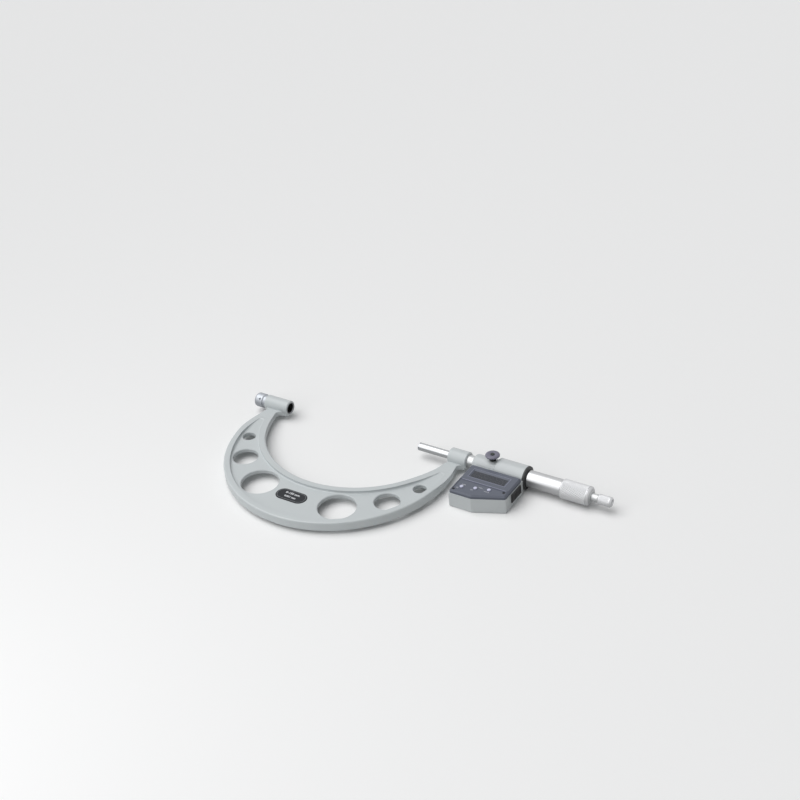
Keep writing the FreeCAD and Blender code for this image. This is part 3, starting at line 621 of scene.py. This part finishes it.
def makeBadgeWords(size):
    low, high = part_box("frame_badge")
    middle = (low + high) / 2 / mm
    for number, (words, rise, height) in enumerate(size["words"], 1):
        place = (middle.x, middle.y + rise, high.z / mm)
        printWords("badgeLine%d" % number, words, place, height, size["wordsTall"], size["bolder"])
    # printed border: a ring with round ends, cut from a disc by pulling its two halves apart
    clearSelection()
    half = (high.y - low.y) / 2 - size["borderInset"] * mm
    centre = (middle.x * mm, middle.y * mm, high.z)
    bpy.ops.mesh.primitive_circle_add(vertices=48, radius=half, location=centre)
    border = bpy.context.object
    border.name = "badgeBorder"
    settle(border)
    openForEdit(border)
    apart = (high.x - low.x) / 2 - size["borderInset"] * mm - half
    for way in (-1, 1):
        selectVerts(border, lambda point: way * (point.x - middle.x) > 0.05)
        bpy.ops.transform.translate(value=(way * apart, 0, 0))
    bpy.ops.mesh.select_all(action="SELECT")
    bpy.ops.mesh.edge_face_add()
    bpy.ops.mesh.inset(thickness=size["borderWide"] * mm)
    bpy.ops.mesh.delete(type="FACE")
    bpy.ops.mesh.select_all(action="SELECT")
    bpy.ops.mesh.extrude_region_move(TRANSFORM_OT_translate={"value": (0, 0, size["borderTall"] * mm)})
    finishPiece(border, "badge_line", "frame_body")


makeBadgeWords(badge)

keyMarks = {
    "height": 1.25, "tall": 0.03, "drop": 0.4,  # drop: how far the key area lies below the panel's top
    "marks": [
        # key, words, place right of and behind the key's middle
        (1, "ZERO", 0.4, 3.0), (1, "ABS", -2.6, -2.3), (2, "HOLD", 3.4, 2.2), (2, "SET", -1.6, -2.9),
        (3, "ON/OFF", -0.6, -2.9),
    ],
}


def makeKeyMarks(size):
    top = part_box("display_panel")[1].z / mm - size["drop"]
    for number, words, right, back in size["marks"]:
        low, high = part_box("button_%d" % number)
        middle = (low + high) / 2 / mm
        name = "keyMark" + words.replace("/", "")
        place = (middle.x + right, middle.y + back, top)
        printWords(name, words, place, size["height"], size["tall"])


makeKeyMarks(keyMarks)
print("stage: words made")


# studio: pale floor, soft lamps, the photograph's camera, and white where the camera looks past the floor

studio = {
    # the floor's own colour, and the one that the camera sees
    "floorColour": (0.78, 0.78, 0.775), "floorSeen": (0.97, 0.97, 0.968), "floorSize": 60.0,
    "skyColour": (0.97, 0.985, 1.0, 1), "skyStrength": 0.28,
    "sun": {"towards": (-0.38, -0.16, 0.88), "strength": 1.8, "angle": 62.0},
    "lamps": [
        # name, place in metres, aimed at the thimble: width, height, watts
        ("lampLeft", (-0.13, -0.62, 0.36), 0.35, 0.42, 0.75),
    ],
    "aim": (0.25, 0, 0),
}


def makeStudio(size):
    clearSelection()
    bpy.ops.mesh.primitive_plane_add(size=size["floorSize"], location=(0.13, 0, cadLow.z - 0.02 * mm))
    floor = bpy.context.object
    floor.name = "studioFloor"
    paper = Finish("floorPaper", size["floorColour"], rough=0.85, Specular_IOR_Level=0.2)
    seen = paper.node("ShaderNodeLightPath")
    paper.give("Base Color", paper.mix(size["floorColour"], size["floorSeen"], seen))
    floor.data.materials.append(paper.material)

    world = bpy.data.worlds.new("studioSky")
    bpy.context.scene.world = world
    world.use_nodes = True
    tree = world.node_tree
    tree.nodes.clear()
    path = tree.nodes.new("ShaderNodeLightPath")
    seen = tree.nodes.new("ShaderNodeMath")
    seen.operation = "ADD"
    seen.use_clamp = True
    tree.links.new(path.outputs["Is Camera Ray"], seen.inputs[0])
    other = tree.nodes.new("ShaderNodeMath")
    other.operation = "ADD"
    tree.links.new(path.outputs["Is Glossy Ray"], other.inputs[0])
    tree.links.new(path.outputs["Is Transmission Ray"], other.inputs[1])
    tree.links.new(other.outputs[0], seen.inputs[1])
    soft = tree.nodes.new("ShaderNodeBackground")
    soft.inputs["Color"].default_value = size["skyColour"]
    soft.inputs["Strength"].default_value = size["skyStrength"]
    white = tree.nodes.new("ShaderNodeBackground")
    white.inputs["Color"].default_value = (1, 1, 1, 1)
    white.inputs["Strength"].default_value = 1.0
    mix = tree.nodes.new("ShaderNodeMixShader")
    tree.links.new(seen.outputs[0], mix.inputs[0])
    tree.links.new(soft.outputs[0], mix.inputs[1])
    tree.links.new(white.outputs[0], mix.inputs[2])
    out = tree.nodes.new("ShaderNodeOutputWorld")
    tree.links.new(mix.outputs[0], out.inputs[0])

    sun = size["sun"]
    bpy.ops.object.light_add(type="SUN", location=(0, 0, 1))
    lamp = bpy.context.object
    lamp.name = "sunSoft"
    lamp.data.energy = sun["strength"]
    lamp.data.angle = math.radians(sun["angle"])
    lamp.rotation_euler = Vector(sun["towards"]).to_track_quat("Z", "Y").to_euler()
    for name, place, wide, tall, watts in size["lamps"]:
        bpy.ops.object.light_add(type="AREA", location=place)
        lamp = bpy.context.object
        lamp.name = name
        lamp.data.shape = "RECTANGLE"
        lamp.data.size = wide
        lamp.data.size_y = tall
        lamp.data.energy = watts
        lamp.rotation_euler = (Vector(size["aim"]) - lamp.location).to_track_quat("-Z", "Y").to_euler()


makeStudio(studio)

cameraPlace = {
    "position": (0.677655, -0.827880, 0.698755), "azimuth": 34.352, "elevation": 33.295, "roll": -4.975,
    "lens": 68.23,
}


def makeCamera(size):
    bpy.ops.object.camera_add()
    camera = bpy.context.object
    aim = Matrix.Rotation(math.radians(size["azimuth"]), 4, "Z")
    aim @= Matrix.Rotation(math.radians(90 - size["elevation"]), 4, "X")
    aim @= Matrix.Rotation(math.radians(size["roll"]), 4, "Z")
    camera.matrix_world = Matrix.Translation(size["position"]) @ aim
    camera.data.lens = size["lens"]
    camera.data.sensor_width = 36.0
    bpy.context.scene.camera = camera


makeCamera(cameraPlace)
bpy.context.scene.view_settings.view_transform = "Standard"
print("stage: studio made")
